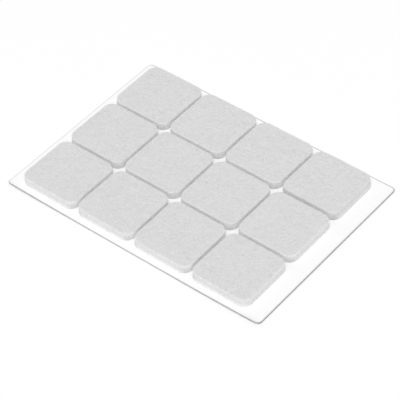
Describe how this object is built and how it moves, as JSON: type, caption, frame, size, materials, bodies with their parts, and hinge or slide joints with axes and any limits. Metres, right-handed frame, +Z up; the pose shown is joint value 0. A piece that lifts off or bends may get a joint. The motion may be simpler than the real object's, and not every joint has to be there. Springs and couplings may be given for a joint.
{
  "type": "felt furniture glider sheet",
  "caption": "Sheet of self-adhesive square felt furniture gliders with rounded corners, set out in rows on white release paper; each pad peels off to stick under a furniture leg.",
  "frame": {"origin": "middle of the underside of the release paper", "axes": "+X along a row of pads, the sheet's long side; +Y from the front row to the back row; +Z up through the felt"},
  "size_m": [0.1298, 0.093, 0.0041],
  "materials": {
    "release_paper": "smooth white siliconised release paper with a faint satin sheen",
    "felt": "matt, pale grey needled felt with short loose fibres",
    "adhesive": "tacky cream adhesive coat, slightly glossy"
  },
  "bodies": {
    "liner": {"release_liner": "release_paper"},
    "pad_r1_c1": {"felt_pad_r1_c1": "felt", "adhesive_layer_r1_c1": "adhesive"},
    "pad_r1_c2": {"felt_pad_r1_c2": "felt", "adhesive_layer_r1_c2": "adhesive"},
    "pad_r1_c3": {"felt_pad_r1_c3": "felt", "adhesive_layer_r1_c3": "adhesive"},
    "pad_r1_c4": {"felt_pad_r1_c4": "felt", "adhesive_layer_r1_c4": "adhesive"},
    "pad_r2_c1": {"felt_pad_r2_c1": "felt", "adhesive_layer_r2_c1": "adhesive"},
    "pad_r2_c2": {"felt_pad_r2_c2": "felt", "adhesive_layer_r2_c2": "adhesive"},
    "pad_r2_c3": {"felt_pad_r2_c3": "felt", "adhesive_layer_r2_c3": "adhesive"},
    "pad_r2_c4": {"felt_pad_r2_c4": "felt", "adhesive_layer_r2_c4": "adhesive"},
    "pad_r3_c1": {"felt_pad_r3_c1": "felt", "adhesive_layer_r3_c1": "adhesive"},
    "pad_r3_c2": {"felt_pad_r3_c2": "felt", "adhesive_layer_r3_c2": "adhesive"},
    "pad_r3_c3": {"felt_pad_r3_c3": "felt", "adhesive_layer_r3_c3": "adhesive"},
    "pad_r3_c4": {"felt_pad_r3_c4": "felt", "adhesive_layer_r3_c4": "adhesive"}
  },
  "joints": [
    {"name": "peel_r1_c1", "type": "slide", "parent": "liner", "child": "pad_r1_c1", "axis": [0, 0, 1], "range_m": [0, 0.02]},
    {"name": "peel_r1_c2", "type": "slide", "parent": "liner", "child": "pad_r1_c2", "axis": [0, 0, 1], "range_m": [0, 0.02]},
    {"name": "peel_r1_c3", "type": "slide", "parent": "liner", "child": "pad_r1_c3", "axis": [0, 0, 1], "range_m": [0, 0.02]},
    {"name": "peel_r1_c4", "type": "slide", "parent": "liner", "child": "pad_r1_c4", "axis": [0, 0, 1], "range_m": [0, 0.02]},
    {"name": "peel_r2_c1", "type": "slide", "parent": "liner", "child": "pad_r2_c1", "axis": [0, 0, 1], "range_m": [0, 0.02]},
    {"name": "peel_r2_c2", "type": "slide", "parent": "liner", "child": "pad_r2_c2", "axis": [0, 0, 1], "range_m": [0, 0.02]},
    {"name": "peel_r2_c3", "type": "slide", "parent": "liner", "child": "pad_r2_c3", "axis": [0, 0, 1], "range_m": [0, 0.02]},
    {"name": "peel_r2_c4", "type": "slide", "parent": "liner", "child": "pad_r2_c4", "axis": [0, 0, 1], "range_m": [0, 0.02]},
    {"name": "peel_r3_c1", "type": "slide", "parent": "liner", "child": "pad_r3_c1", "axis": [0, 0, 1], "range_m": [0, 0.02]},
    {"name": "peel_r3_c2", "type": "slide", "parent": "liner", "child": "pad_r3_c2", "axis": [0, 0, 1], "range_m": [0, 0.02]},
    {"name": "peel_r3_c3", "type": "slide", "parent": "liner", "child": "pad_r3_c3", "axis": [0, 0, 1], "range_m": [0, 0.02]},
    {"name": "peel_r3_c4", "type": "slide", "parent": "liner", "child": "pad_r3_c4", "axis": [0, 0, 1], "range_m": [0, 0.02]}
  ]
}
